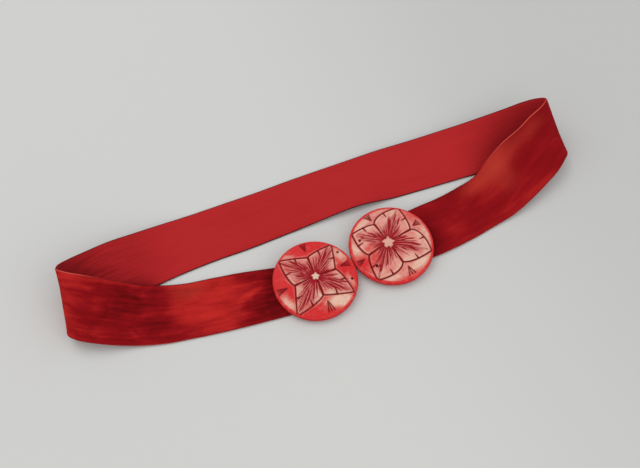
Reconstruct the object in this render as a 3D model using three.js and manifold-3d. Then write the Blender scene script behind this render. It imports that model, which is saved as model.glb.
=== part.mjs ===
// A velvet belt with a two-disc wooden buckle, fastened, lying on a table.
// Millimetres, +Z up. The belt's long side runs along X, its underside lies at Z = 0.

import * as THREE from "three";
import { mergeVertices } from "three/addons/utils/BufferGeometryUtils.js";
import Module from "manifold-3d";

const wasm = await Module();
wasm.setup();

// Driving dimensions
const BAND_WALL = 1.5;
const SEAM_GAP = 0.3;
const LEFT_DISC_RADIUS = 33;
const RIGHT_DISC_RADIUS = 33.5;
const DISC_THICKNESS = 10.5;
const RIM_ROUNDING = 2.6;
const RIM_TURN_IN = 0.9;
const GROOVE_WIDTH = 1.6;
const GROOVE_DEPTH = 0.7;
const PIN_HOLE_RADIUS = 0.9;

// The clasp plates, along the line from the left disc's centre and across it
const PLATE_THICKNESS = 0.9;
const PLATE_NEAR = 21;
const BASE_LENGTH = 8;
const BASE_HALF_WIDTH = 15;
const NECK_HALF_WIDTH = 5;
const SLOT_START = 35.2;
const SLOT_END = 39;
const SLOT_HALF_WIDTH = 3.4;
const CROSSBAR = 2.5;
const HOOK_HALF_WIDTH = 3;
const PIN_RADIUS = 0.55;
const PIN_LENGTH = 3;

// Resolution of the curved faces
const STEPS_PER_ROW = 3;
const COLUMNS = 10;
const NORMAL_REACH = 0.2;
const DISC_SEGMENTS = 72;
const RIM_STEPS = 5;
const DOME_STEPS = 3;
const HOLE_SEGMENTS = 10;
const MERGE_DISTANCE = 1e-4;

// The middle of the belt's base, as its sections are laid out below; it becomes the origin
const BASE_MIDDLE = new THREE.Vector3(0.8, -0.2, 0);

// How the buckle lies: the middle of its underside, its lean towards the near side and the
// direction from the left disc to the right one
const BUCKLE_MIDDLE = new THREE.Vector3(7.8, -30.2, 4.4);
const BUCKLE_LEAN = THREE.MathUtils.degToRad(6.5);
const BUCKLE_TURN = THREE.MathUtils.degToRad(5.1);
const DISC_DISTANCE = LEFT_DISC_RADIUS + RIGHT_DISC_RADIUS + SEAM_GAP;

// The two pin holes of each disc, from the disc's own centre
const LEFT_PINS = [new THREE.Vector2(25.7, 12.7), new THREE.Vector2(25.3, -12)];
const RIGHT_PINS = [new THREE.Vector2(-21.3, 13.3), new THREE.Vector2(-19.6, -11.8)];

// The carved flowers, each with four petals round its disc's middle. turn: direction of the
// first petal in degrees. tip, notch: how far a petal's tip, and the notch between two petals,
// lie from the middle. taper: below 1 the petals are full and round, above 1 they are slender.
const PETALS = 4;
const LEFT_FLOWER = { turn: 40, tip: 30, notch: 15.5, taper: 1.9 };
const RIGHT_FLOWER = { turn: 48, tip: 30.5, notch: 18.5, taper: 0.55 };

// Cross sections of the band, from under the left disc round the loop to under the right disc.
// x, y, z: middle of the section. turn: plan direction of the width in degrees, from the near
// edge to the far edge. rise: how far the width leans up, in degrees. width: near edge to far edge.
const SECTIONS = [
  { x: -40, y: -32.6, z: 2.75, turn: 80, rise: 6.4, width: 40 },
  { x: -60, y: -29, z: 2.35, turn: 79, rise: 4, width: 43 },
  { x: -80, y: -25, z: 1.3, turn: 78, rise: 1, width: 46.5 },
  { x: -101, y: -21.5, z: 0.75, turn: 78, rise: 0, width: 48 },
  { x: -122, y: -18.1, z: 0.75, turn: 77, rise: 0, width: 48 },
  { x: -141, y: -14.2, z: 1.9, turn: 76, rise: 2.5, width: 49 },
  { x: -159, y: -9.6, z: 6, turn: 72, rise: 9.5, width: 48.5 },
  { x: -176, y: -5.2, z: 14.1, turn: 65, rise: 20, width: 48.5 },
  { x: -192.5, y: -0.2, z: 22.8, turn: 58, rise: 31, width: 48.5 },
  { x: -201.1, y: 4.8, z: 25.4, turn: 57.6, rise: 38.2, width: 48 },
  { x: -206, y: 11, z: 23.5, turn: 68.4, rise: 46, width: 48 },
  { x: -205.8, y: 17.3, z: 19, turn: 85.8, rise: 48, width: 48 },
  { x: -201.3, y: 22, z: 15.2, turn: 95, rise: 37, width: 48 },
  { x: -192, y: 25.6, z: 12.6, turn: 98, rise: 29, width: 48 },
  { x: -178, y: 29, z: 10.4, turn: 99, rise: 24, width: 48 },
  { x: -160, y: 32.8, z: 8.2, turn: 98, rise: 18, width: 48 },
  { x: -140, y: 35.6, z: 5.4, turn: 96, rise: 11, width: 48 },
  { x: -116, y: 38.3, z: 2.7, turn: 95, rise: 4.5, width: 48 },
  { x: -90, y: 39.9, z: 0.75, turn: 94, rise: 0, width: 48.5 },
  { x: -62, y: 40, z: 0.75, turn: 92, rise: 0, width: 48.5 },
  { x: -32, y: 40.8, z: 0.75, turn: 91, rise: 0, width: 47.5 },
  { x: 0, y: 41.8, z: 1.4, turn: 90, rise: -1.5, width: 47.5 },
  { x: 34, y: 42, z: 2.4, turn: 90, rise: -4, width: 47.5 },
  { x: 68, y: 40.3, z: 1.8, turn: 88, rise: 2.5, width: 48.5 },
  { x: 98, y: 38.4, z: 2.4, turn: 87, rise: 4, width: 48.5 },
  { x: 124, y: 36.8, z: 3.4, turn: 86, rise: 6, width: 48.5 },
  { x: 146, y: 35, z: 4.9, turn: 85, rise: 10, width: 48 },
  { x: 165, y: 33, z: 7, turn: 85, rise: 14.5, width: 48 },
  { x: 181, y: 30.8, z: 9.5, turn: 85, rise: 21, width: 48 },
  { x: 194.5, y: 28.3, z: 13.1, turn: 88, rise: 30, width: 48 },
  { x: 205.6, y: 25.1, z: 16.6, turn: 93.5, rise: 40, width: 48 },
  { x: 211.7, y: 21.1, z: 20, turn: 104, rise: 50, width: 48 },
  { x: 206.5, y: 13.9, z: 23.3, turn: 117.5, rise: 45, width: 48 },
  { x: 197.2, y: 8.6, z: 23.6, turn: 122, rise: 36, width: 48 },
  { x: 186, y: 2.9, z: 20.2, turn: 119, rise: 26, width: 48 },
  { x: 171, y: -2, z: 15, turn: 115, rise: 16.5, width: 49.5 },
  { x: 155.5, y: -7.9, z: 9.5, turn: 112, rise: 9, width: 49 },
  { x: 139.8, y: -13.5, z: 3, turn: 107, rise: 1, width: 47 },
  { x: 121, y: -16.9, z: 0.9, turn: 103, rise: 0, width: 46.5 },
  { x: 100, y: -20.6, z: 1.1, turn: 99, rise: 0.5, width: 46.5 },
  { x: 78, y: -23.4, z: 2.7, turn: 94, rise: 3.5, width: 46 },
  { x: 55, y: -25.6, z: 3.5, turn: 90, rise: 6.5, width: 44 },
];

const LAST_ROW = SECTIONS.length - 1;

// Troughs and ridges pressed into the cloth. from and to: rows of the table above. near and
// far: where the fold starts and ends across the width, 0 at the near edge and 1 at the far one.
// spread: its half width as a share of the band's. height: above the cloth, below zero inwards.
const FOLDS = [
  { from: 0.95, to: 3.4, near: 0.3, far: 0.22, spread: 0.09, height: 1.5 },
  { from: 0.95, to: 3.9, near: 0.56, far: 0.55, spread: 0.08, height: 1.7 },
  { from: 0.95, to: 3, near: 0.8, far: 0.84, spread: 0.07, height: 1.3 },
  { from: 6.5, to: 12.5, near: 0.5, far: 0.5, spread: 0.4, height: 1.8 },
];

function widthDirection(section) {
  const turn = THREE.MathUtils.degToRad(section.turn);
  const rise = THREE.MathUtils.degToRad(section.rise);
  const plan = Math.cos(rise);
  return new THREE.Vector3(Math.cos(turn) * plan, Math.sin(turn) * plan, Math.sin(rise));
}

/** The smooth line of one edge of the band: side is -1 for the near edge and 1 for the far one. */
function edgeCurve(side) {
  const points = SECTIONS.map((section) => {
    const middle = new THREE.Vector3(section.x, section.y, section.z);
    return middle.addScaledVector(widthDirection(section), (side * section.width) / 2);
  });
  return new THREE.CatmullRomCurve3(points, false, "catmullrom", 0.5);
}

/** How far the folds lift the cloth at a row, across its width from 0 to 1. */
function foldHeight(row, across) {
  let height = 0;
  for (const fold of FOLDS) {
    const run = (row - fold.from) / (fold.to - fold.from);
    if (run > 0 && run < 1) {
      const centre = THREE.MathUtils.lerp(fold.near, fold.far, run);
      const distance = (across - centre) / fold.spread;
      height += fold.height * Math.sin(Math.PI * run) * Math.exp(-distance * distance);
    }
  }
  return height;
}

/** Joins rings of points into one closed wall. */
function closedWall(rings) {
  const count = rings[0].length;
  const last = (rings.length - 1) * count;
  const indices = [];
  for (let ring = 0; ring < rings.length - 1; ring += 1) {
    for (let i = 0; i < count; i += 1) {
      const next = (i + 1) % count;
      const a = ring * count + i;
      const b = ring * count + next;
      indices.push(a, b, a + count, b, b + count, a + count);
    }
  }
  for (let i = 0; i < count / 2 - 1; i += 1) {
    const opposite = count - 1 - i;
    const farEnd = last + i;
    const farOpposite = last + opposite;
    indices.push(i, opposite, i + 1, i + 1, opposite, opposite - 1);
    indices.push(farEnd, farEnd + 1, farOpposite, farEnd + 1, farOpposite - 1, farOpposite);
  }
  const coordinates = rings.flat().flatMap((point) => point.toArray());
  const geometry = new THREE.BufferGeometry();
  geometry.setAttribute("position", new THREE.Float32BufferAttribute(coordinates, 3));
  geometry.setIndex(indices);
  return geometry;
}

/** Which way the velvet face looks at a row, square to the width and to the band's run. */
function outwardNormal(nearEdge, farEdge, row) {
  const before = Math.max(row - NORMAL_REACH, 0) / LAST_ROW;
  const after = Math.min(row + NORMAL_REACH, LAST_ROW) / LAST_ROW;
  const forward = nearEdge.getPoint(after).add(farEdge.getPoint(after));
  forward.sub(nearEdge.getPoint(before)).sub(farEdge.getPoint(before));
  const width = farEdge.getPoint(row / LAST_ROW).sub(nearEdge.getPoint(row / LAST_ROW));
  return width.cross(forward).normalize();
}

/** One ring of the wall: the velvet face from the near edge to the far one, then the inner face back. */
function bandRing(nearEdge, farEdge, row) {
  const near = nearEdge.getPoint(row / LAST_ROW);
  const far = farEdge.getPoint(row / LAST_ROW);
  const outward = outwardNormal(nearEdge, farEdge, row);
  const outer = [];
  const inner = [];
  for (let column = 0; column <= COLUMNS; column += 1) {
    const across = column / COLUMNS;
    const middle = near.clone().lerp(far, across).addScaledVector(outward, foldHeight(row, across));
    const outerPoint = middle.clone().addScaledVector(outward, BAND_WALL / 2);
    const innerPoint = middle.clone().addScaledVector(outward, -BAND_WALL / 2);
    const upper = outward.z > 0 ? outerPoint : innerPoint;
    const lower = outward.z > 0 ? innerPoint : outerPoint;
    lower.z = Math.max(lower.z, 0);
    upper.z = Math.max(upper.z, BAND_WALL);
    outer.push(outerPoint);
    inner.push(innerPoint);
  }
  return [...outer, ...inner.reverse()];
}

function bandGeometry() {
  const nearEdge = edgeCurve(-1);
  const farEdge = edgeCurve(1);
  const rings = [];
  for (let ring = 0; ring <= LAST_ROW * STEPS_PER_ROW; ring += 1) {
    rings.push(bandRing(nearEdge, farEdge, ring / STEPS_PER_ROW));
  }
  return closedWall(rings);
}

/** A solid for cutting and joining, from a closed geometry. */
function toSolid(geometry) {
  const bare = geometry.clone();
  bare.deleteAttribute("normal");
  bare.deleteAttribute("uv");
  const merged = mergeVertices(bare, MERGE_DISTANCE);
  const vertProperties = new Float32Array(merged.attributes.position.array);
  const triVerts = new Uint32Array(merged.index.array);
  return new wasm.Manifold(new wasm.Mesh({ numProp: 3, vertProperties, triVerts }));
}

/** A geometry from a solid, with the vertices that its faces share named once. */
function toGeometry(solid) {
  const mesh = solid.asOriginal().getMesh();
  const geometry = new THREE.BufferGeometry();
  geometry.setAttribute("position", new THREE.Float32BufferAttribute(mesh.vertProperties, 3));
  geometry.setIndex(new THREE.Uint32BufferAttribute(mesh.triVerts, 1));
  return geometry;
}

/** Height of a disc's domed top at a distance from its axis. */
function domeHeight(radius, distance) {
  const shoulder = shoulderRadius(radius);
  const rise = DISC_THICKNESS - RIM_ROUNDING - RIM_ROUNDING * Math.sin(RIM_TURN_IN);
  const domeRadius = (shoulder * shoulder + rise * rise) / (2 * rise);
  return DISC_THICKNESS - domeRadius + Math.sqrt(domeRadius * domeRadius - distance * distance);
}

/** Where the rounded rim meets the dome. */
function shoulderRadius(radius) {
  return radius - RIM_ROUNDING + RIM_ROUNDING * Math.cos(RIM_TURN_IN);
}

/** How far the petals' outline lies from the flower's middle, at a direction in radians. */
function petalRadius(flower, direction) {
  const share = (2 * Math.PI) / PETALS;
  const fromAxis = THREE.MathUtils.euclideanModulo(direction + share / 2, share) - share / 2;
  const towardsTip = 1 - Math.abs(fromAxis) / (share / 2);
  return flower.notch + (flower.tip - flower.notch) * towardsTip ** flower.taper;
}

/** A disc's section at one direction, from the underside's rim over the carved top. */
function discSection(radius, flower, direction) {
  const section = [new THREE.Vector2(radius - RIM_ROUNDING, 0)];
  for (let step = 1; step <= RIM_STEPS; step += 1) {
    const angle = -Math.PI / 2 + (Math.PI / 2 + RIM_TURN_IN) * (step / RIM_STEPS);
    const reach = radius - RIM_ROUNDING + RIM_ROUNDING * Math.cos(angle);
    section.push(new THREE.Vector2(reach, RIM_ROUNDING + RIM_ROUNDING * Math.sin(angle)));
  }
  const petal = petalRadius(flower, direction);
  const outerLip = petal + GROOVE_WIDTH / 2;
  const innerLip = petal - GROOVE_WIDTH / 2;
  section.push(new THREE.Vector2(outerLip, domeHeight(radius, outerLip)));
  section.push(new THREE.Vector2(petal, domeHeight(radius, petal) - GROOVE_DEPTH));
  for (let step = DOME_STEPS; step > 0; step -= 1) {
    const reach = (innerLip * step) / DOME_STEPS;
    section.push(new THREE.Vector2(reach, domeHeight(radius, reach)));
  }
  return section;
}

/** The whole skin of a carved disc, closed at the middle of its underside and of its top. */
function discSkin(radius, flower) {
  const points = [0, 0, 0, 0, 0, DISC_THICKNESS];
  const indices = [];
  const count = discSection(radius, flower, 0).length;
  for (let segment = 0; segment < DISC_SEGMENTS; segment += 1) {
    const direction = (segment * 2 * Math.PI) / DISC_SEGMENTS;
    const turned = direction + THREE.MathUtils.degToRad(flower.turn);
    for (const point of discSection(radius, flower, direction)) {
      points.push(point.x * Math.cos(turned), point.x * Math.sin(turned), point.y);
    }
    const here = 2 + segment * count;
    const next = 2 + ((segment + 1) % DISC_SEGMENTS) * count;
    indices.push(0, next, here);
    for (let i = 0; i < count - 1; i += 1) {
      indices.push(here + i, next + i, here + i + 1, next + i, next + i + 1, here + i + 1);
    }
    indices.push(here + count - 1, next + count - 1, 1);
  }
  const geometry = new THREE.BufferGeometry();
  geometry.setAttribute("position", new THREE.Float32BufferAttribute(points, 3));
  geometry.setIndex(indices);
  return geometry;
}

function upright(radius, low, high, place) {
  const geometry = new THREE.CylinderGeometry(radius, radius, high - low, HOLE_SEGMENTS);
  geometry.rotateX(Math.PI / 2);
  geometry.translate(place.x, place.y, (low + high) / 2);
  return geometry;
}

function block(lowX, highX, halfWidth, low, high) {
  const geometry = new THREE.BoxGeometry(highX - lowX, 2 * halfWidth, high - low);
  geometry.translate((lowX + highX) / 2, 0, (low + high) / 2);
  return toSolid(geometry);
}

/** A turned, domed disc with its flower carved in and its two pin holes drilled. */
function disc(name, radius, flower, pins, color) {
  let solid = toSolid(discSkin(radius, flower));
  for (const place of pins) {
    solid = solid.subtract(toSolid(upright(PIN_HOLE_RADIUS, -1, DISC_THICKNESS + 1, place)));
  }
  const wood = new THREE.MeshStandardMaterial({ color, roughness: 0.45, metalness: 0 });
  const mesh = new THREE.Mesh(toGeometry(solid), wood);
  mesh.name = name;
  return mesh;
}

function steel() {
  return new THREE.MeshStandardMaterial({ color: 0xb8b8ba, roughness: 0.35, metalness: 1 });
}

/** Adds the pins that hold a plate in its disc's holes. */
function addPins(plate, pins) {
  const foot = -SEAM_GAP - PLATE_THICKNESS / 2;
  let solid = plate;
  for (const place of pins) {
    solid = solid.add(toSolid(upright(PIN_RADIUS, foot, PIN_LENGTH, place)));
  }
  return solid;
}

/** The slotted plate under the left disc, seen from the left disc's centre. */
function claspEye() {
  const top = -SEAM_GAP;
  const bottom = top - PLATE_THICKNESS;
  const base = block(PLATE_NEAR, PLATE_NEAR + BASE_LENGTH, BASE_HALF_WIDTH, bottom, top);
  const neck = block(PLATE_NEAR + BASE_LENGTH / 2, SLOT_END + CROSSBAR, NECK_HALF_WIDTH, bottom, top);
  const slot = block(SLOT_START, SLOT_END, SLOT_HALF_WIDTH, bottom - 1, top + 1);
  const geometry = toGeometry(addPins(base.add(neck).subtract(slot), LEFT_PINS));
  const mesh = new THREE.Mesh(geometry, steel());
  mesh.name = "clasp_eye";
  return mesh;
}

/** The hook plate under the right disc, seen from the right disc's centre. */
function claspHook() {
  const top = -SEAM_GAP;
  const bottom = top - PLATE_THICKNESS;
  const floor = bottom - SEAM_GAP - PLATE_THICKNESS;
  const lip = SLOT_START + 1 - DISC_DISTANCE;
  const step = SLOT_END + CROSSBAR + 1 - DISC_DISTANCE;
  const base = block(step + PLATE_THICKNESS / 2, step + 2 + BASE_LENGTH, BASE_HALF_WIDTH, bottom, top);
  const riser = block(step, step + PLATE_THICKNESS, HOOK_HALF_WIDTH, floor, top);
  const tongue = block(lip, step + PLATE_THICKNESS, HOOK_HALF_WIDTH, floor, floor + PLATE_THICKNESS);
  const hook = block(lip, lip + PLATE_THICKNESS, HOOK_HALF_WIDTH, floor, top);
  const geometry = toGeometry(addPins(base.add(riser).add(tongue).add(hook), RIGHT_PINS));
  const mesh = new THREE.Mesh(geometry, steel());
  mesh.name = "clasp_hook";
  return mesh;
}

/** The two discs hooked together, leaning on their near rims. */
function buckle() {
  const left = new THREE.Group();
  left.add(disc("left_disc", LEFT_DISC_RADIUS, LEFT_FLOWER, LEFT_PINS, 0xd8403c), claspEye());
  left.position.x = -DISC_DISTANCE / 2;
  const right = new THREE.Group();
  right.add(disc("right_disc", RIGHT_DISC_RADIUS, RIGHT_FLOWER, RIGHT_PINS, 0xe07a70), claspHook());
  right.position.x = DISC_DISTANCE / 2;
  const pair = new THREE.Group();
  pair.add(left, right);
  pair.rotation.z = BUCKLE_TURN;
  const leaning = new THREE.Group();
  leaning.add(pair);
  leaning.position.copy(BUCKLE_MIDDLE);
  leaning.rotation.x = BUCKLE_LEAN;
  return leaning;
}

const velvet = new THREE.MeshStandardMaterial({ color: 0x8e1418, roughness: 0.9, metalness: 0 });
const band = new THREE.Mesh(bandGeometry(), velvet);
band.name = "band";

const belt = new THREE.Group();
belt.add(band, buckle());
belt.position.copy(BASE_MIDDLE).negate();

export default belt;
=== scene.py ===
"""Looks for a velvet belt with a carved two-disc wooden buckle, fastened and lying on a table.

Metres in the scene, millimetres in the tables below, +Z up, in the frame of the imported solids.
"""

import logging
import math
from collections.abc import Iterator
from dataclasses import dataclass, field
from enum import Enum
from typing import Any

import bmesh
import bpy
import numpy as np
from mathutils import Matrix, Vector, noise


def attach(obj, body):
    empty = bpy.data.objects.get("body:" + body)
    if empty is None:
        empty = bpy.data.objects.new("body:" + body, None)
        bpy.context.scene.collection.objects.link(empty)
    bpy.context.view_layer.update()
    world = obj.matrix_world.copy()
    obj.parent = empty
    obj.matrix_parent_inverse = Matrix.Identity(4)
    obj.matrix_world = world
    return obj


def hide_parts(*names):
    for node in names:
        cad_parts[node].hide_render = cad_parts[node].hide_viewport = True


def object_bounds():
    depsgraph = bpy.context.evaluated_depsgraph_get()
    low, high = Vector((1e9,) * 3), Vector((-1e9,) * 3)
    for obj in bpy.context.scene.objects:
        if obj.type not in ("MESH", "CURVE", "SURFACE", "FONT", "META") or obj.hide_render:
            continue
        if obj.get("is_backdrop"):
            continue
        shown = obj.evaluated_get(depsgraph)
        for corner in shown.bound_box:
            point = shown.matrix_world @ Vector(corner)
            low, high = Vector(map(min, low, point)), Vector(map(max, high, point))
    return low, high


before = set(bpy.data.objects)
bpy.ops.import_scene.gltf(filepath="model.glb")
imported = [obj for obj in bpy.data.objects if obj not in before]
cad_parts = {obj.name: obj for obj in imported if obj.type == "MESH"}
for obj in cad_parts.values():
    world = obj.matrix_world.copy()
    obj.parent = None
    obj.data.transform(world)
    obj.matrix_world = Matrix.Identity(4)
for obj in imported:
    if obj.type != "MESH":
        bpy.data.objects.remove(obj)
SOLIDS_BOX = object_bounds()

log = logging.getLogger("belt")

MM = 0.001
RIBBON_WIDTH = 48.0

# One unit of the ribbon's UV map, in millimetres of cloth both ways
UV_SPAN = 820.0

Colour = tuple[float, float, float, float]
Place = tuple[float, float]
Node = bpy.types.Node
NodeTree = bpy.types.NodeTree
Socket = bpy.types.NodeSocket
Material = bpy.types.Material
Piece = bpy.types.Object
Shape = bmesh.types.BMesh

# The middle of the belt's base, as its sections are laid out below
BASE_MIDDLE = np.array((0.8, -0.2, 0.0))

# How the buckle lies: the middle of its underside, its lean and its turn in degrees
BUCKLE_MIDDLE = Vector((7.8, -30.2, 4.4))
BUCKLE_LEAN = 6.5
BUCKLE_TURN = 5.1
SEAM_GAP = 0.3

# Cross sections of the ribbon, from under the left disc round the loop to under the right disc:
# middle x, y, z; plan direction of the width; how far the width leans up; width
BAND_SECTIONS = np.array((
    (-40, -32.6, 2.75, 80, 6.4, 40), (-60, -29, 2.35, 79, 4, 43), (-80, -25, 1.3, 78, 1, 46.5),
    (-101, -21.5, 0.75, 78, 0, 48), (-122, -18.1, 0.75, 77, 0, 48), (-141, -14.2, 1.9, 76, 2.5, 49),
    (-159, -9.6, 6, 72, 9.5, 48.5), (-176, -5.2, 14.1, 65, 20, 48.5),
    (-192.5, -0.2, 22.8, 58, 31, 48.5), (-201.1, 4.8, 25.4, 57.6, 38.2, 48),
    (-206, 11, 23.5, 68.4, 46, 48), (-205.8, 17.3, 19, 85.8, 48, 48),
    (-201.3, 22, 15.2, 95, 37, 48), (-192, 25.6, 12.6, 98, 29, 48),
    (-178, 29, 10.4, 99, 24, 48), (-160, 32.8, 8.2, 98, 18, 48),
    (-140, 35.6, 5.4, 96, 11, 48), (-116, 38.3, 2.7, 95, 4.5, 48), (-90, 39.9, 0.75, 94, 0, 48.5),
    (-62, 40, 0.75, 92, 0, 48.5), (-32, 40.8, 0.75, 91, 0, 47.5), (0, 41.8, 1.4, 90, -1.5, 47.5),
    (34, 42, 2.4, 90, -4, 47.5), (68, 40.3, 1.8, 88, 2.5, 48.5), (98, 38.4, 2.4, 87, 4, 48.5),
    (124, 36.8, 3.4, 86, 6, 48.5), (146, 35, 4.9, 85, 10, 48), (165, 33, 7, 85, 14.5, 48),
    (181, 30.8, 9.5, 85, 21, 48), (194.5, 28.3, 13.1, 88, 30, 48),
    (205.6, 25.1, 16.6, 93.5, 40, 48), (211.7, 21.1, 20, 104, 50, 48),
    (206.5, 13.9, 23.3, 117.5, 45, 48), (197.2, 8.6, 23.6, 122, 36, 48),
    (186, 2.9, 20.2, 119, 26, 48), (171, -2, 15, 115, 16.5, 49.5), (155.5, -7.9, 9.5, 112, 9, 49),
    (139.8, -13.5, 3, 107, 1, 47), (121, -16.9, 0.9, 103, 0, 46.5),
    (100, -20.6, 1.1, 99, 0.5, 46.5), (78, -23.4, 2.7, 94, 3.5, 46), (55, -25.6, 3.5, 90, 6.5, 44),
), dtype=float)
LAST_ROW = len(BAND_SECTIONS) - 1


class RecordSlot(Enum):
    """Material slots of the part's record."""

    VELVET = "velvet"
    PAINTED_WOOD = "painted_wood"
    CLASP_STEEL = "clasp_steel"


class RibbonSide(Enum):
    """Faces of the ribbon, by material index."""

    PILE = 0
    BACKING = 1
    SELVEDGE = 2


def srgb(red: float, green: float, blue: float) -> Colour:
    """Turns display values from 0 to 255 into a linear colour.

    Args:
        red: Red on a display.
        green: Green on a display.
        blue: Blue on a display.

    Returns:
        The linear colour with full opacity.
    """
    linear = []
    for value in (red, green, blue):
        share = value / 255
        linear.append(share / 12.92 if share <= 0.04045 else ((share + 0.055) / 1.055) ** 2.4)
    return (*linear, 1.0)


def smoothstep(low: float, high: float, value: np.ndarray) -> np.ndarray:
    """Eases from 0 at low to 1 at high."""
    share = np.clip((value - low) / (high - low), 0, 1)
    return share * share * (3 - 2 * share)


class Board:
    """A node tree with short calls for adding, setting and joining nodes."""

    def __init__(self, tree: NodeTree) -> None:
        """Takes the tree to work on."""
        self.tree = tree

    def add(self, kind: str, inputs: dict[Any, Any] | None = None, **settings: Any) -> Node:
        """Adds a node.

        Args:
            kind: The node's type name.
            inputs: Input name or number to a value, or to the socket that feeds it.
            settings: The node's own properties.

        Returns:
            The node.
        """
        node = self.tree.nodes.new(kind)
        for name, value in settings.items():
            setattr(node, name, value)
        for name, value in (inputs or {}).items():
            if isinstance(value, Socket):
                self.tree.links.new(value, node.inputs[name])
            else:
                node.inputs[name].default_value = value
        return node

    def group(self, group: NodeTree, inputs: dict[str, Any]) -> Socket:
        """Places a node group and takes its one output."""
        return self.add("ShaderNodeGroup", inputs, node_tree=group).outputs[0]

    def attribute(self, name: str) -> Socket:
        """Reads a number that the mesh carries."""
        return self.add("ShaderNodeAttribute", attribute_name=name).outputs["Fac"]

    def math(self, operation: str, *values: Any, clamp: bool = False) -> Socket:
        """Adds a Math node, whose values are numbers or sockets."""
        inputs = dict(enumerate(values))
        return self.add("ShaderNodeMath", inputs, operation=operation, use_clamp=clamp).outputs[0]

    def swing(self, grain: Any, share: Any, base: Any, clamp: bool = False) -> Socket:
        """Adds to the base a share of how far the grain lies from its middle."""
        centred = self.math("SUBTRACT", grain, 0.5)
        return self.math("MULTIPLY_ADD", centred, share, base, clamp=clamp)

    def scaled(self, place: Socket, scale: float) -> Socket:
        """Multiplies a vector by a number."""
        inputs = {0: place, "Scale": scale}
        return self.add("ShaderNodeVectorMath", inputs, operation="SCALE").outputs[0]

    def mix(self, share: Any, first: Any, second: Any, blend: str = "MIX") -> Socket:
        """Mixes two colours, with a share from 0 to 1 of the second."""
        inputs = {0: share, 6: first, 7: second}
        return self.add("ShaderNodeMix", inputs, data_type="RGBA", blend_type=blend).outputs[2]

    def ramp(self, value: Socket, stops: list[tuple[float, Colour]]) -> Socket:
        """Adds a colour ramp.

        Args:
            value: What drives it.
            stops: Place and colour of each stop, in order.

        Returns:
            The colour.
        """
        node = self.add("ShaderNodeValToRGB", {0: value})
        elements = node.color_ramp.elements
        while len(elements) < len(stops):
            elements.new(0.5)
        for element, (place, colour) in zip(elements, stops):
            element.position = place
            element.color = colour
        return node.outputs[0]

    def coat(
        self, shader: Node, colour: Socket, relief: "Relief", rough: Socket | None = None
    ) -> None:
        """Joins the colour, the relief and, where it changes, the roughness to a Principled node.

        Args:
            shader: The Principled node.
            colour: The base colour.
            relief: The fine relief of the surface.
            rough: The roughness.
        """
        depth = relief.depth * MM
        height = {"Strength": relief.strength, "Distance": depth, "Height": relief.height}
        bump = self.add("ShaderNodeBump", height).outputs[0]
        for name, socket in (("Base Color", colour), ("Roughness", rough), ("Normal", bump)):
            if socket is not None:
                self.tree.links.new(socket, shader.inputs[name])


@dataclass(frozen=True)
class Relief:
    """A fine relief: its height, how strongly it shows, and its depth in millimetres."""

    height: Socket
    strength: float
    depth: float


def new_group(
    name: str, inputs: dict[str, tuple[str, Any]], output: str
) -> tuple[Board, bpy.types.NodeOutputs, Socket]:
    """Starts a shader node group with one number out.

    Args:
        name: The group's name.
        inputs: Input name to its socket type and default value.
        output: The output's name.

    Returns:
        The board to build on, the group's inputs, and the socket that its result goes to.
    """
    tree = bpy.data.node_groups.new(name, "ShaderNodeTree")
    for label, (kind, default) in inputs.items():
        socket = tree.interface.new_socket(label, in_out="INPUT", socket_type=kind)
        if default is not None:
            socket.default_value = default
    tree.interface.new_socket(output, in_out="OUTPUT", socket_type="NodeSocketFloat")
    board = Board(tree)
    return board, board.add("NodeGroupInput").outputs, board.add("NodeGroupOutput").inputs[output]


def stretched_grain_group() -> NodeTree:
    """Builds the streaky noise that cloth, wood and metal share.

    Returns:
        A group with a vector, two scales, a detail and a contrast in, and a grain from 0 to 1 out.
    """
    inputs = {
        "Vector": ("NodeSocketVector", None),
        "Along": ("NodeSocketFloat", 1.0),
        "Across": ("NodeSocketFloat", 1.0),
        "Detail": ("NodeSocketFloat", 3.0),
        "Contrast": ("NodeSocketFloat", 1.0),
    }
    board, source, result = new_group("stretched_grain", inputs, "Grain")
    scale = board.add("ShaderNodeCombineXYZ", {0: source["Along"], 1: source["Across"], 2: 1.0})
    factors = {0: source["Vector"], 1: scale.outputs[0]}
    place = board.add("ShaderNodeVectorMath", factors, operation="MULTIPLY")
    settings = {"Vector": place.outputs[0], "Scale": 1.0, "Detail": source["Detail"]}
    texture = board.add("ShaderNodeTexNoise", {**settings, "Distortion": 0.6})
    grain = board.swing(texture.outputs[0], source["Contrast"], 0.5, clamp=True)
    board.tree.links.new(grain, result)
    return board.tree


def woven_rib_group() -> NodeTree:
    """Builds the fine cross ribs and lengthwise threads of the ribbon's ground cloth.

    Returns:
        A group with a vector and a thread pitch in, and a height from 0 to 1 out.
    """
    inputs = {"Vector": ("NodeSocketVector", None), "Pitch": ("NodeSocketFloat", 0.6)}
    board, source, result = new_group("woven_rib", inputs, "Height")
    split = board.add("ShaderNodeSeparateXYZ", {0: source["Vector"]})
    turns = board.math("DIVIDE", 2 * math.pi, source["Pitch"])
    ways = (board.math("MULTIPLY", split.outputs[way], turns) for way in (0, 1))
    woven = board.math("MULTIPLY", *(board.math("SINE", way) for way in ways))
    board.tree.links.new(board.math("MULTIPLY_ADD", woven, 0.5, 0.5), result)
    return board.tree


class SharedEffects:
    """The node groups that the finishes share."""

    def __init__(self) -> None:
        """Builds both groups."""
        self.grain = stretched_grain_group()
        self.weave = woven_rib_group()


@dataclass(frozen=True)
class Grain:
    """How a streaky noise is stretched, in waves per millimetre, and how fine and strong it is."""

    along: float
    across: float
    detail: float
    contrast: float

    def lay(self, board: Board, effects: SharedEffects, place: Socket) -> Socket:
        """Lays the noise at a place and returns its grain, from 0 to 1."""
        look = {name.capitalize(): value for name, value in vars(self).items()}
        return board.group(effects.grain, {"Vector": place, **look})


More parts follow.
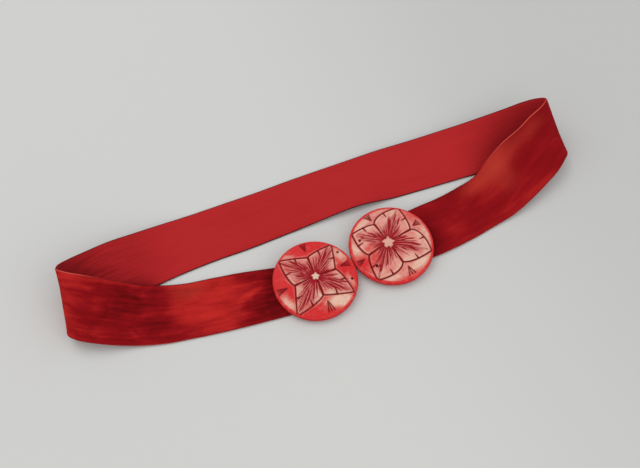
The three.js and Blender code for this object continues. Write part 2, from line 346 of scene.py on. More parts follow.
def ribbon_place(board: Board) -> Socket:
    """Reads a place on the ribbon in millimetres, along it and across it."""
    return board.scaled(board.add("ShaderNodeUVMap", uv_map="ribbon").outputs[0], UV_SPAN)


def object_place(board: Board) -> Socket:
    """Reads a place in the frame of the object in millimetres."""
    return board.scaled(board.add("ShaderNodeTexCoord").outputs["Object"], 1 / MM)


def new_finish(name: str, **constants: Any) -> tuple[Material, Board, Node]:
    """Starts a material.

    Args:
        name: The material's name.
        constants: Principled inputs that are the same all over, with spaces written as underscores.

    Returns:
        The material, a board on its tree, and its Principled node.
    """
    material = bpy.data.materials.new(name)
    material.use_nodes = True
    shader = material.node_tree.nodes["Principled BSDF"]
    for label, value in constants.items():
        shader.inputs[label.replace("_", " ")].default_value = value
    return material, Board(material.node_tree), shader


@dataclass(frozen=True)
class VelvetPile:
    """Crushed velvet with painted shade and sheen: deep crimson where the pile leans away, lighter
    where it faces the light.
    """

    shade: Colour = srgb(92, 8, 13)
    body: Colour = srgb(136, 15, 21)
    light: Colour = srgb(186, 38, 35)
    warm: Colour = srgb(174, 55, 43)
    sheen: Colour = srgb(226, 84, 70)
    crush: Grain = Grain(0.03, 0.09, 4.0, 1.8)
    blotch: Grain = Grain(0.1, 0.16, 4.0, 1.9)
    streak: Grain = Grain(0.03, 0.32, 4.0, 1.9)
    tuft: Grain = Grain(1.3, 1.6, 2.0, 1.5)
    crush_share: float = 0.34
    blotch_share: float = 0.75
    tuft_share: float = 0.2

    def build(self, effects: SharedEffects) -> Material:
        """Makes the material.

        Args:
            effects: The shared node groups.

        Returns:
            The material.
        """
        material, board, shader = new_finish(
            "velvet_pile",
            Sheen_Weight=0.1,
            Sheen_Roughness=0.35,
            Sheen_Tint=self.sheen,
            Specular_IOR_Level=0.04,
        )
        place = ribbon_place(board)
        grains = (self.crush, self.blotch, self.streak, self.tuft)
        crush, blotch, streak, tuft = (grain.lay(board, effects, place) for grain in grains)
        # The tone attribute carries the pile's own mottling with painted shade (darker by the left
        # disc) and painted highlight (lit streaks and raised turns)
        tone = board.swing(crush, self.crush_share, board.attribute("nap"))
        pull = board.swing(blotch, self.blotch_share, board.math("SUBTRACT", streak, 0.5))
        tone = board.math("MULTIPLY_ADD", pull, board.attribute("drag"), tone)
        tone = board.swing(tuft, self.tuft_share, tone)
        colour = board.ramp(tone, [(0.0, self.shade), (0.5, self.body), (1.0, self.light)])
        # Warm orange-brown where the raised pile catches the light: painted sheen
        colour = board.mix(board.attribute("warmth"), colour, self.warm)
        rough = board.math("MULTIPLY_ADD", tone, -0.15, 0.97)
        lift = board.math("MULTIPLY_ADD", streak, 0.6, board.math("MULTIPLY", tuft, 0.5))
        board.coat(shader, colour, Relief(lift, strength=0.45, depth=0.22), rough)
        return material


@dataclass(frozen=True)
class WovenBacking:
    """The ribbon's inner face: matt red cloth with a fine weave, faint lengthwise streaks and
    painted shade.
    """

    light: Colour = srgb(180, 37, 39)
    body: Colour = srgb(148, 24, 28)
    shade: Colour = srgb(108, 13, 20)
    cloud: Grain = Grain(0.02, 0.05, 3.0, 1.4)
    streak: Grain = Grain(0.04, 0.5, 3.0, 1.7)
    thread_pitch: float = 0.7
    cloud_share: float = 0.12
    weave_share: float = 0.06

    def build(self, effects: SharedEffects) -> Material:
        """Makes the material.

        Args:
            effects: The shared node groups.

        Returns:
            The material.
        """
        constants = {"Sheen_Weight": 0.04, "Sheen_Roughness": 0.5, "Specular_IOR_Level": 0.08}
        material, board, shader = new_finish("woven_backing", **constants)
        place = ribbon_place(board)
        cloud, streak = (grain.lay(board, effects, place) for grain in (self.cloud, self.streak))
        weave = board.group(effects.weave, {"Vector": place, "Pitch": self.thread_pitch})
        # The tone attribute carries painted shade: darker in the left fold's hollow and where the
        # front ribbon's edge crosses
        tone = board.swing(cloud, self.cloud_share, board.attribute("nap"))
        tone = board.swing(streak, board.attribute("drag"), tone)
        tone = board.swing(weave, self.weave_share, tone)
        colour = board.ramp(tone, [(0.0, self.shade), (0.5, self.body), (1.0, self.light)])
        rough = board.math("MULTIPLY_ADD", streak, 0.1, 0.85)
        lift = board.math("MULTIPLY_ADD", weave, 0.6, streak)
        board.coat(shader, colour, Relief(lift, strength=0.5, depth=0.12), rough)
        return material


@dataclass(frozen=True)
class SatinSelvedge:
    """The narrow woven edge without pile, dark, with a painted salmon highlight line in places."""

    worn: Colour = srgb(206, 80, 66)
    body: Colour = srgb(148, 22, 26)
    shade: Colour = srgb(72, 7, 13)
    rubbed: Grain = Grain(0.05, 0.4, 3.0, 1.6)
    thread_pitch: float = 0.5

    def build(self, effects: SharedEffects) -> Material:
        """Makes the material.

        Args:
            effects: The shared node groups.

        Returns:
            The material.
        """
        constants = {"Specular_IOR_Level": 0.1, "Roughness": 0.75}
        material, board, shader = new_finish("satin_selvedge", **constants)
        place = ribbon_place(board)
        weave = board.group(effects.weave, {"Vector": place, "Pitch": self.thread_pitch})
        rubbed = self.rubbed.lay(board, effects, place)
        tone = board.math("MULTIPLY_ADD", weave, 0.08, board.math("MULTIPLY", rubbed, 0.14))
        # The edge attribute brings the painted salmon highlight, and lifts the near edge from dark
        # to red
        tone = board.math("ADD", tone, board.attribute("warmth"))
        colour = board.ramp(tone, [(0.08, self.shade), (0.5, self.body), (1.0, self.worn)])
        board.coat(shader, colour, Relief(weave, strength=0.5, depth=0.1))
        return material


@dataclass(frozen=True)
class StainedWood:
    """Turned wood, stained red over cream, with cut lines filled dark and a satin varnish."""

    name: str
    pink: Colour
    star: Colour
    cream: Colour = srgb(225, 184, 163)
    red: Colour = srgb(206, 40, 42)
    stroke: Colour = srgb(148, 14, 28)
    line: Colour = srgb(120, 6, 12)
    grain_shade: Colour = (0.86, 0.84, 0.84, 1.0)
    fibre: Grain = Grain(0.12, 1.1, 4.0, 1.5)
    brush: Grain = Grain(0.22, 0.3, 5.0, 1.7)
    grain_share: float = 0.7

    def build(self, effects: SharedEffects) -> Material:
        """Makes the material.

        Args:
            effects: The shared node groups.

        Returns:
            The material.
        """
        constants = {"Coat_Weight": 0.04, "Coat_Roughness": 0.3, "Specular_IOR_Level": 0.1}
        material, board, shader = new_finish(self.name, **constants)
        spot = object_place(board)
        fibre, brush = (grain.lay(board, effects, spot) for grain in (self.fibre, self.brush))
        paint = board.add("ShaderNodeAttribute", attribute_name="paint")
        layers = board.add("ShaderNodeSeparateColor", {0: paint.outputs["Color"]})
        # lines also carries painted shade at the rim and in the pin holes; paleness carries painted
        # highlights beside the cuts
        lines, strokes, paleness = (layers.outputs[place] for place in range(3))
        pale = board.swing(brush, 0.35, paleness, clamp=True)
        wash = board.swing(brush, -0.5, paint.outputs["Alpha"], clamp=True)
        colour = board.mix(pale, self.pink, self.cream)
        colour = board.mix(wash, colour, self.red)
        colour = board.mix(strokes, colour, self.stroke)
        colour = board.mix(board.attribute("star"), colour, self.star)
        colour = board.mix(lines, colour, self.line)
        shade = board.ramp(fibre, [(0.0, self.grain_shade), (0.6, (1, 1, 1, 1))])
        colour = board.mix(self.grain_share, colour, shade, "MULTIPLY")
        rough = board.math("MULTIPLY_ADD", fibre, 0.12, 0.45)
        rough = board.math("MULTIPLY_ADD", lines, 0.2, rough)
        board.coat(shader, colour, Relief(fibre, strength=0.35, depth=0.12), rough)
        return material


@dataclass(frozen=True)
class BrushedSteel:
    """Plain sheet steel of the hidden clasp, brushed along the belt and a little tarnished."""

    body: Colour = srgb(188, 188, 190)
    tarnish: Colour = srgb(122, 112, 100)
    brushed: Grain = Grain(0.2, 5.0, 3.0, 1.3)
    stain: Grain = Grain(0.25, 0.25, 5.0, 2.4)

    def build(self, effects: SharedEffects) -> Material:
        """Makes the material.

        Args:
            effects: The shared node groups.

        Returns:
            The material.
        """
        material, board, shader = new_finish("brushed_clasp_steel", Metallic=1.0)
        spot = object_place(board)
        brushed, stain = (grain.lay(board, effects, spot) for grain in (self.brushed, self.stain))
        colour = board.mix(board.math("MULTIPLY", stain, 0.5), self.body, self.tarnish)
        rough = board.math("MULTIPLY_ADD", stain, 0.2, 0.2)
        rough = board.math("MULTIPLY_ADD", brushed, 0.2, rough)
        board.coat(shader, colour, Relief(brushed, strength=0.4, depth=0.05), rough)
        return material


def finish_piece(mesh_name: str, shape: Shape, materials: list[Material]) -> Piece:
    """Turns a bmesh into an object at the origin, smooth shaded.

    Args:
        mesh_name: Name of the object and its mesh.
        shape: The finished bmesh, which is freed.
        materials: Its materials, in slot order.

    Returns:
        The object.
    """
    mesh = bpy.data.meshes.new(mesh_name)
    shape.to_mesh(mesh)
    shape.free()
    for material in materials:
        mesh.materials.append(material)
    mesh.shade_smooth()
    piece = bpy.data.objects.new(mesh_name, mesh)
    bpy.context.scene.collection.objects.link(piece)
    return piece


@dataclass(frozen=True)
class Crease:
    """A ridge or trough along the ribbon, from one row of the section table to another."""

    start: float
    end: float
    near: float
    far: float
    spread: float
    height: float

    def lift(self, row: np.ndarray, across: np.ndarray) -> np.ndarray:
        """Works out how far the crease lifts the cloth.

        Args:
            row: Rows of the section table.
            across: Shares of the width, 0 at the near edge.

        Returns:
            Heights in millimetres.
        """
        run = np.clip((row - self.start) / (self.end - self.start), 0, 1)
        centre = self.near + (self.far - self.near) * run
        return self.height * np.sin(np.pi * run) * np.exp(-(((across - centre) / self.spread) ** 2))


@dataclass(frozen=True)
class Patch:
    """A soft patch of the pile where it leans another way, placed by row and share of the width."""

    row: float
    across: float
    reach: float
    spread: float
    tone: float
    slant: float = 0.0
    hardness: float = 1.5

    def weight(self, row: np.ndarray, across: np.ndarray) -> np.ndarray:
        """Works out how strongly the patch shows.

        Args:
            row: Rows of the section table.
            across: Shares of the width.

        Returns:
            The patch's tone, fading to 0 around it.
        """
        along = (row - self.row) / self.reach
        side = (across - self.across - self.slant * (row - self.row)) / self.spread
        return self.tone * np.exp(-((along**2 + side**2) ** self.hardness))


def total_weight(table: tuple, row: np.ndarray, across: np.ndarray) -> np.ndarray:
    """Adds up how strongly the patches of a table show at each place."""
    return sum((Patch(*line).weight(row, across) for line in table), np.zeros(len(row)))


@dataclass(frozen=True)
class Stretch:
    """A stretch of the ribbon that eases in between two rows and out between two others."""

    rise: float
    risen: float
    fall: float
    fallen: float
    strength: float

    def weight(self, row: np.ndarray) -> np.ndarray:
        """Works out how strongly the stretch shows at each row."""
        rising = smoothstep(self.rise, self.risen, row)
        return self.strength * rising * (1 - smoothstep(self.fall, self.fallen, row))


# The ribbon's edge in section, as shares of the width and heights over its middle: the upper side
# up to the pile, and the under side up to the flat of the inner face
EDGE_PROFILE = ((0, 0), (0.001, 0.24), (0.004, 0.36), (0.012, 0.42), (0.017, 0.72))
UNDER_PROFILE = ((0.003, -0.12), (0.014, -0.3), (0.035, -0.6))
PILE_START, BACKING_START = 0.04, 0.06
EDGE_SLACK = 1e-4

# The cloth's fine unevenness: waves along a row and across the width, seed, share
RIPPLES = ((1.3, 7.0, 3.1, 1.0), (4.1, 16.0, 8.7, 0.5))

# Where the crushed pile and the inner face are streaky: rows of the rise and the fall, strength
PILE_STRETCHES = ((4.4, 6, 11.5, 13, 0.32), (-2, -1, 4, 8, 0.16), (-2, -1, 1.6, 2.8, 0.2))
BACKING_STRETCH = (9, 11.5, 13.5, 17, 0.5)

# The ribbon's folds and wrinkles: first and last row, share of the width at each, spread, height
FOLDS = (
    (0.95, 3.4, 0.3, 0.22, 0.09, 1.5), (0.95, 3.9, 0.56, 0.55, 0.08, 1.7),
    (0.95, 3, 0.8, 0.84, 0.07, 1.3), (6.5, 12.5, 0.5, 0.5, 0.4, 1.8),
)
WRINKLES = (
    (0.8, 3.2, 0.12, 0.08, 0.03, 0.45), (0.8, 4.2, 0.42, 0.36, 0.03, 0.5),
    (0.9, 4.6, 0.68, 0.74, 0.03, 0.45), (0.9, 3.0, 0.92, 0.95, 0.025, 0.35),
    (3.5, 8.5, 0.3, 0.42, 0.03, -0.3), (4.0, 8.0, 0.62, 0.55, 0.035, 0.35),
    (4.5, 9.0, 0.82, 0.7, 0.03, 0.3), (4.8, 9.5, 0.16, 0.2, 0.04, 0.35),
    (10.8, 15.5, 0.2, 0.3, 0.05, -0.4), (11.4, 16.5, 0.42, 0.5, 0.05, 0.35),
    (11.0, 15.0, 0.66, 0.62, 0.05, -0.4), (38.5, 41, 0.35, 0.4, 0.05, 0.5),
    (38.5, 41, 0.7, 0.66, 0.05, 0.45),
)

# Where the pile and the inner face turn lighter (partly painted highlight), darker (partly painted
# shade) or warm (painted sheen), and where the edge carries a painted salmon highlight or is lifted
# from dark to red: row, share of the width, reach in rows, spread over the width, tone, slant,
# hardness
# The pile's tone: partly its own mottling, partly painted shade by the left disc and painted
# highlight on lit streaks and raised turns
NAP_PATCHES = (
    (0.95, 0.5, 0.3, 0.9, -0.26), (1.5, 0.87, 0.75, 0.2, -0.12), (1.45, 0.28, 0.55, 0.2, -0.32),
    (1.75, 0.56, 0.5, 0.07, 0.3, -0.22), (2.0, 0.06, 0.5, 0.1, -0.2), (3.3, 0.5, 1.45, 0.75, 0.4),
    (4.2, 0.12, 0.7, 0.2, -0.18), (6.1, 0.5, 1.35, 0.9, -0.13, 0.0, 6.0),
    (6.3, 0.72, 0.9, 0.16, -0.12), (5.5, 0.3, 0.6, 0.16, -0.16), (5.6, 0.97, 2.6, 0.05, 0.25),
    (6.9, 0.16, 1.2, 0.08, 0.12), (8.0, 0.42, 0.8, 0.1, -0.12), (10.6, 0.5, 1.9, 0.9, 0.3),
    (11.0, 0.2, 1.2, 0.3, 0.14), (10.4, 0.93, 1.7, 0.1, 0.22), (32.8, 0.5, 2.4, 1.2, -0.08),
    (32.6, 0.3, 0.8, 0.12, 0.16), (36.4, 0.82, 1.4, 0.25, 0.22), (37.4, 0.45, 1.0, 0.25, 0.04),
    (38.9, 0.78, 1.0, 0.3, -0.08), (39.2, 0.3, 0.7, 0.2, 0.08), (40.4, 0.35, 0.7, 0.5, -0.38),
    (35.8, 0.06, 2.4, 0.12, 0.2),
)
# Painted sheen: warm orange-brown where the raised pile catches the light
WARM_SHEEN_PATCHES = (
    (4.0, 0.86, 0.7, 0.17, 0.4), (35.9, 0.88, 1.25, 0.2, 0.62), (36.1, 0.64, 0.6, 0.28, 0.35),
    (37.4, 0.84, 0.7, 0.14, 0.4), (33.6, 0.85, 1.2, 0.12, 0.3),
)
# Painted shade on the inner face: the left fold's hollow, and beside the front ribbon's crossing
# edge
BACKING_PATCHES = (
    (11.8, 0.7, 1.9, 0.9, -0.6), (14.6, 0.5, 1.9, 1.2, -0.26), (15.0, 0.06, 0.9, 0.2, -0.3),
    (27.9, 0.2, 1.9, 0.7, -0.42), (30.2, 0.75, 2.6, 0.7, -0.26),
)
# Painted highlight: a salmon line along the far edge at both turns; the last two lift the near edge
# from dark to red
EDGE_PATCHES = (
    (33.4, 1.0, 3.3, 0.2, 0.85), (10.3, 1.0, 3.0, 0.2, 0.8), (6.0, 0.0, 7.0, 0.2, 0.42),
    (35.5, 0.0, 7.0, 0.2, 0.42),
)


@dataclass
class VelvetBand:
    """The ribbon: its course round the loop, its folds, its pile, and its two faces and edges."""

    wall: float = 1.5
    rows_along: int = 640
    columns: int = 38
    normal_reach: float = 0.2
    length_steps: int = 4000
    width_steps: int = 400
    end_fold: float = 12.5
    ripple_height: float = 0.16
    pile_tone: float = 0.5
    backing_tone: float = 0.88
    pile_drag: float = 0.1
    backing_drag: float = 0.12
    edge_points: np.ndarray = field(init=False)

    def __post_init__(self) -> None:
        """Lays out the near and the far edge of the ribbon at each row."""
        middle = BAND_SECTIONS[:, :3] - BASE_MIDDLE
        turn, rise = np.radians(BAND_SECTIONS[:, 3]), np.radians(BAND_SECTIONS[:, 4])
        flat = np.cos(rise)
        width = np.stack((np.cos(turn) * flat, np.sin(turn) * flat, np.sin(rise)), 1)
        half = width * BAND_SECTIONS[:, 5:] / 2
        self.edge_points = np.hstack((middle - half, middle + half))

    def on_curve(self, row: np.ndarray) -> tuple[np.ndarray, np.ndarray]:
        """Finds points on the smooth lines along both edges.

        Args:
            row: Rows to look up, whole or not.

        Returns:
            Points of the near edge and of the far edge.
        """
        points = self.edge_points
        padded = np.vstack((2 * points[0] - points[1], points, 2 * points[-1] - points[-2]))
        start = np.clip(np.floor(row).astype(int), 0, LAST_ROW - 1)
        share = (row - start)[:, None]
        before, here, there, after = (padded[start + i] for i in range(4))
        leave, arrive = 0.5 * (there - before), 0.5 * (after - here)
        square = (3 * (there - here) - 2 * leave - arrive) * share**2
        cube = (2 * (here - there) + leave + arrive) * share**3
        near, far = np.split(here + leave * share + square + cube, 2, axis=1)
        return near, far

    def edges(self, row: np.ndarray) -> tuple[np.ndarray, np.ndarray, np.ndarray]:
        """Finds both edges and the way the velvet looks.

        Args:
            row: Rows to look up.

        Returns:
            Near edge points, far edge points, and outward unit vectors.
        """
        near, far = self.on_curve(row)
        before = sum(self.on_curve(np.maximum(row - self.normal_reach, 0)))
        after = sum(self.on_curve(np.minimum(row + self.normal_reach, LAST_ROW)))
        outward = np.cross(far - near, after - before)
        return near, far, outward / np.linalg.norm(outward, axis=1)[:, None]

    def even_rows(self) -> tuple[np.ndarray, float]:
        """Spaces the rings evenly along the ribbon's middle.

        Returns:
            The table row at each share of the length from 0 to 1 in steps, and the length.
        """
        fine = np.linspace(0, LAST_ROW, self.length_steps + 1)
        near, far, _ = self.edges(fine)
        steps = np.linalg.norm(np.diff((near + far) / 2, axis=0), axis=1)
        run = np.concatenate(([0], np.cumsum(steps)))
        shares = np.linspace(0, run[-1], self.rows_along + 1)
        return np.interp(shares, run, fine), float(run[-1])

    def outline(self) -> tuple[np.ndarray, np.ndarray]:
        """Draws the ribbon's section once round: velvet face, far edge, inner face, near edge.

        Returns:
            Shares of the width, and heights above the ribbon's middle in millimetres.
        """
        pile = np.linspace(PILE_START, 1 - PILE_START, self.columns)
        backing = reversed(np.linspace(BACKING_START, 1 - BACKING_START, self.columns))
        half = self.wall / 2
        section = [
            *EDGE_PROFILE,
            *((v, half) for v in pile),
            *((1 - v, h) for v, h in reversed(EDGE_PROFILE)),
            *((1 - v, h) for v, h in UNDER_PROFILE),
            *((v, -half) for v in backing),
            *reversed(UNDER_PROFILE),
            (0, 0),
        ]
        return np.array([v for v, _ in section]), np.array([h for _, h in section])

    def surface(self, row: np.ndarray, across: np.ndarray, height: np.ndarray) -> np.ndarray:
        """Places points of the ribbon in the scene.

        Args:
            row: Table row of each point.
            across: Share of the width of each.
            height: Height over the ribbon's middle, in millimetres.

        Returns:
            The points, in millimetres.
        """
        near, far, outward = self.edges(row)
        lift = sum(Crease(*line).lift(row, across) for line in (*FOLDS, *WRINKLES))
        waves = np.array([
            sum(part * noise.noise(Vector((r * x, v * y, seed))) for x, y, seed, part in RIPPLES)
            for r, v in zip(row, across)
        ])
        lift = lift + self.ripple_height * waves
        middle = near + (far - near) * across[:, None]
        points = middle + outward * (lift + height)[:, None]
        upper = outward[:, 2] * height > 0
        floor = np.where(upper, self.wall / 2 + np.abs(height), 0.0)
        points[:, 2] = np.maximum(points[:, 2], floor)
        return points

    def looks(self, row: np.ndarray, across: np.ndarray, turn: np.ndarray) -> dict[str, np.ndarray]:
        """Works out what the finishes read at each point of the ribbon.

        Args:
            row: Table row of each point.
            across: Share of the width of each.
            turn: Place round the section of each.

        Returns:
            By layer name, the tone with its painted shade and highlight, the painted warm sheen and
            edge highlight, and how streaky.
        """
        pile = turn < self.columns + 2 * len(EDGE_PROFILE)
        nap = self.pile_tone + total_weight(NAP_PATCHES, row, across)
        back = self.backing_tone + total_weight(BACKING_PATCHES, row, across)
        warmth = total_weight(WARM_SHEEN_PATCHES, row, across)
        # shine: the selvedge's painted highlight
        shine = total_weight(EDGE_PATCHES, row, across)
        selvedge = np.abs(across - 0.5) > 0.5 - EDGE_PROFILE[-2][0] - EDGE_SLACK
        drag = self.pile_drag + sum(Stretch(*line).weight(row) for line in PILE_STRETCHES)
        back_drag = self.backing_drag + Stretch(*BACKING_STRETCH).weight(row)
        return {
            "nap": np.where(pile, nap, back),
            "warmth": np.maximum(np.where(selvedge, shine, warmth), 0),
            "drag": np.where(pile, drag, back_drag),
        }

    def build(self, effects: SharedEffects) -> Piece:
        """Makes the ribbon.

        Args:
            effects: The shared node groups.

        Returns:
            The ribbon's object.
        """
        rows, length = self.even_rows()
        shares, heights = self.outline()
        around = len(shares) - 1
        shape = bmesh.new()
        bmesh.ops.create_grid(shape, x_segments=self.rows_along, y_segments=around, size=1)
        grid = np.array([(v.co.x, v.co.y) for v in shape.verts])
        step = np.rint((grid[:, 0] + 1) / 2 * self.rows_along).astype(int)
        turn = np.rint((grid[:, 1] + 1) / 2 * around).astype(int)
        row, across = rows[step], shares[turn]
        points = self.surface(row, across, heights[turn])
        carried = {
            "along": step / self.rows_along * length,
            "across": across * RIBBON_WIDTH,
            **self.looks(row, across, turn),
        }
        layers = {name: shape.verts.layers.float.new(name) for name in carried}
        for index, vertex in enumerate(shape.verts):
            vertex.co = points[index] * MM
            for name, layer in layers.items():
                vertex[layer] = carried[name][index]
        self.sort_faces(shape, turn, around)
        bmesh.ops.remove_doubles(shape, verts=shape.verts, dist=1e-7)
        ends = [e for e in shape.edges if e.is_boundary]
        bmesh.ops.holes_fill(shape, edges=ends, sides=0)
        bmesh.ops.recalc_face_normals(shape, faces=shape.faces)
        uv = shape.loops.layers.uv.new("ribbon")
        for loop in (loop for face in shape.faces for loop in face.loops):
            loop[uv].uv = [loop.vert[layers[name]] / UV_SPAN for name in ("along", "across")]
        finishes = (VelvetPile(), WovenBacking(), SatinSelvedge())
        piece = finish_piece("velvet_band", shape, [finish.build(effects) for finish in finishes])
        self.declare(piece, length)
        return piece

    def sort_faces(self, shape: Shape, turn: np.ndarray, around: int) -> None:
        """Gives each face its side of the ribbon.

        Args:
            shape: The ribbon's bmesh.
            turn: Place round the section of each vertex.
            around: Faces round the section.
        """
        shape.verts.ensure_lookup_table()
        shape.verts.index_update()
        first_pile = len(EDGE_PROFILE) - 1
        last_pile = first_pile + self.columns
        first_backing = last_pile + len(EDGE_PROFILE) + len(UNDER_PROFILE) - 1
        last_backing = around - len(UNDER_PROFILE)
        for face in shape.faces:
            place = min(turn[v.index] for v in face.verts)
            if first_pile <= place <= last_pile:
                side = RibbonSide.PILE
            elif first_backing <= place <= last_backing:
                side = RibbonSide.BACKING
            else:
                side = RibbonSide.SELVEDGE
            face.material_index = side.value

    def declare(self, piece: Piece, length: float) -> None:
        """Hides the solid band that the ribbon stands in for, hangs the ribbon under the root and
        logs its length.

        Args:
            piece: The ribbon's object.
            length: Its length in millimetres.
        """
        places = np.linspace(0, LAST_ROW, self.width_steps)
        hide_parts("band")
        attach(piece, "root")
        log.info("velvet_band: %.0f mm long, %d faces", length, len(piece.data.polygons))


@dataclass(frozen=True)
class Stroke:
    """A straight cut or brush line on a disc, with a width at each end."""

    start: np.ndarray
    end: np.ndarray
    start_width: float
    end_width: float
    depth: float = 0.0
    ink: float = 1.0

    def near(self, places: np.ndarray) -> np.ndarray:
        """Works out how deep inside the line each place lies.

        Args:
            places: Places on the disc.

        Returns:
            1 on the line's middle, falling to 0 at its side.
        """
        run = self.end - self.start
        share = np.clip((places - self.start) @ run / max(run @ run, 1e-9), 0, 1)
        gap = np.linalg.norm(places - self.start - share[:, None] * run, axis=1)
        half = (self.start_width + (self.end_width - self.start_width) * share) / 2
        return np.clip(1 - gap / half, 0, 1)


@dataclass(frozen=True)
class Wash:
    """A soft patch of stain on a disc."""

    x: float
    y: float
    reach_x: float
    reach_y: float
    strength: float
    turn: float = 0.0

    def weight(self, places: np.ndarray) -> np.ndarray:
        """Works out how strong the stain is at each place on the disc.

        Args:
            places: Places on the disc.

        Returns:
            The strengths.
        """
        away = places - np.array((self.x, self.y))
        cos, sin = math.cos(math.radians(self.turn)), math.sin(math.radians(self.turn))
        u = (away[:, 0] * cos + away[:, 1] * sin) / self.reach_x
        v = (away[:, 1] * cos - away[:, 0] * sin) / self.reach_y
        return self.strength * np.exp(-((u * u + v * v) ** 1.5))


def washes(*rows: tuple[float, ...]) -> tuple[Wash, ...]:
    """Makes washes from rows of x, y, reach along x and y, strength, and turn in degrees."""
    return tuple(Wash(*row) for row in rows)


PETALS = 4

# Widths at the start and at the end, and depth, of each kind of cut in a flower
EDGE_CUT = (1.9, 1.9, 0.7)
TICK_CUT = (2.5, 0.9, 0.6)
SPOKE_CUT = (3.0, 0.6, 0.5)
FILLED_MARK_CUT = (1.2, 1.5, 0.4)
OPEN_MARK_CUT = (1.2, 1.9, 0.4)
HAIR_END, HAIR_DEPTH = 0.35, 0.16

# A petal's edge swells as a power of the way along it, which peaks at this height
SWELL_POWER = 0.6
SWELL_PEAK = 0.347


@dataclass(frozen=True)
class Flower:
    """A plain four-petalled flower: where its petals' tips and the notches between them lie.

    tips and notches go round anticlockwise, the first notch after the first tip. bulges holds, for
    each petal, how far its edge before the tip and its edge after it swell.
    """

    centre: Place
    star: float
    star_jag: float
    tips: tuple[Place, ...]
    notches: tuple[Place, ...]
    bulges: tuple[tuple[float, float], ...]
    tick_place: float
    marks: tuple[Place, ...]
    mark_length: float
    mark_spread: float
    edge_ink: float
    mark_ink: float
    spoke_share: float
    hairs: int
    hair_reach: float
    tick_length: float = 4.6
    open_mark: int = 2
    edge_steps: int = 40
    hair_start: float = 0.4
    streaks: int = 9
    streak_start: float = 0.97

    def edge(self, petal: int, side: int) -> np.ndarray:
        """Draws one edge of a petal from its notch to its tip.

        Args:
            petal: Number of the petal.
            side: 0 for the edge before the tip, 1 for the one after.

        Returns:
            Points along the edge.
        """
        notch = np.array(self.notches[petal - 1 + side])
        tip = np.array(self.tips[petal])
        run = tip - notch
        across = np.array((run[1], -run[0])) / np.linalg.norm(run)
        if side == 1:
            across = -across
        share = np.linspace(0, 1, self.edge_steps + 1)[:, None]
        swell = self.bulges[petal][side] * share**SWELL_POWER * (1 - share) / SWELL_PEAK
        return notch + run * share + across * swell

    def polar(self, places: np.ndarray) -> tuple[np.ndarray, np.ndarray]:
        """Measures the direction and the distance of places from the flower's centre."""
        away = places - np.array(self.centre)
        return np.arctan2(away[:, 1], away[:, 0]), np.linalg.norm(away, axis=1)

    def shares(self, places: np.ndarray) -> tuple[np.ndarray, np.ndarray, np.ndarray]:
        """Measures places against the petals, looking outwards from the flower's centre.

        Args:
            places: Places on the disc.

        Returns:
            Distance as a share of the petal's edge that way, the distance left to that edge in
            millimetres, and the angle off the petal's axis.
        """
        direction, distance = self.polar(places)
        rim, off_axis = np.full(len(places), 1e-3), np.zeros(len(places))
        for petal in range(PETALS):
            tip = np.array(self.tips[petal]) - np.array(self.centre)
            axis = math.atan2(tip[1], tip[0])
            off = np.angle(np.exp(1j * (direction - axis)))
            line_way, line_reach = self.polar(np.vstack((self.edge(petal, 0), self.edge(petal, 1))))
            line_off = np.angle(np.exp(1j * (line_way - axis)))
            order = np.argsort(line_off)
            reach = np.interp(off, line_off[order], line_reach[order], left=0, right=0)
            rim = np.where(reach > 0, reach, rim)
            off_axis = np.where(reach > 0, off, off_axis)
        return distance / rim, rim - distance, off_axis

    def cuts(self) -> list[Stroke]:
        """Lists the carved lines: petal edges, ticks, spokes between petals and outer marks.

        Returns:
            The strokes.
        """
        centre = np.array(self.centre)
        found = []
        for petal in range(PETALS):
            for side in (0, 1):
                line = self.edge(petal, side)
                for first, second in zip(line[:-1], line[1:]):
                    found.append(Stroke(first, second, *EDGE_CUT, self.edge_ink))
                at = line[int(round(self.tick_place * self.edge_steps))]
                inward = centre + (np.array(self.tips[petal]) - centre) * 0.45 - at
                inward = inward / np.linalg.norm(inward)
                found.append(Stroke(at, at + inward * self.tick_length, *TICK_CUT))
            notch = np.array(self.notches[petal])
            spoke = notch + (centre - notch) * self.spoke_share
            found.append(Stroke(notch, spoke, *SPOKE_CUT))
        for number, mark in enumerate(self.marks):
            found.extend(self.mark_cuts(np.array(mark), number != self.open_mark))
        return found

    def mark_cuts(self, apex: np.ndarray, filled: bool) -> list[Stroke]:
        """Lists the short cuts of one outer mark, which fan out towards the rim.

        Args:
            apex: Where the cuts meet, nearest the flower.
            filled: Whether they are close enough to make one wedge.

        Returns:
            The strokes.
        """
        outward = apex / np.linalg.norm(apex)
        sideways = np.array((-outward[1], outward[0]))
        found = []
        leans = (-1, -0.35, 0.35, 1) if filled else (-1, 0, 1)
        sizes = FILLED_MARK_CUT if filled else OPEN_MARK_CUT
        for lean in leans:
            end = apex + outward * self.mark_length + sideways * lean * self.mark_spread
            start = apex + outward * 0.5 * abs(lean) + sideways * lean * 0.35
            found.append(Stroke(start, end, *sizes, self.mark_ink))
        return found

    def fan(
        self, chance: np.random.Generator, count: int, wander: float
    ) -> Iterator[tuple[np.ndarray, float]]:
        """Aims at points spread along each petal's edge, each a little off its even place.

        Args:
            chance: The seeded source of variation.
            count: How many points a petal has.
            wander: How far a point may stray, as a share of the space between two.

        Yields:
            The way from the flower's centre to the point, and its share of the petal's edge.
        """
        for petal in range(PETALS):
            rim = np.vstack((self.edge(petal, 0)[1:], self.edge(petal, 1)[::-1][1:-1]))
            for number in range(count):
                share = (number + 0.5 + chance.uniform(-wander, wander)) / count
                yield rim[int(share * (len(rim) - 1))] - np.array(self.centre), share

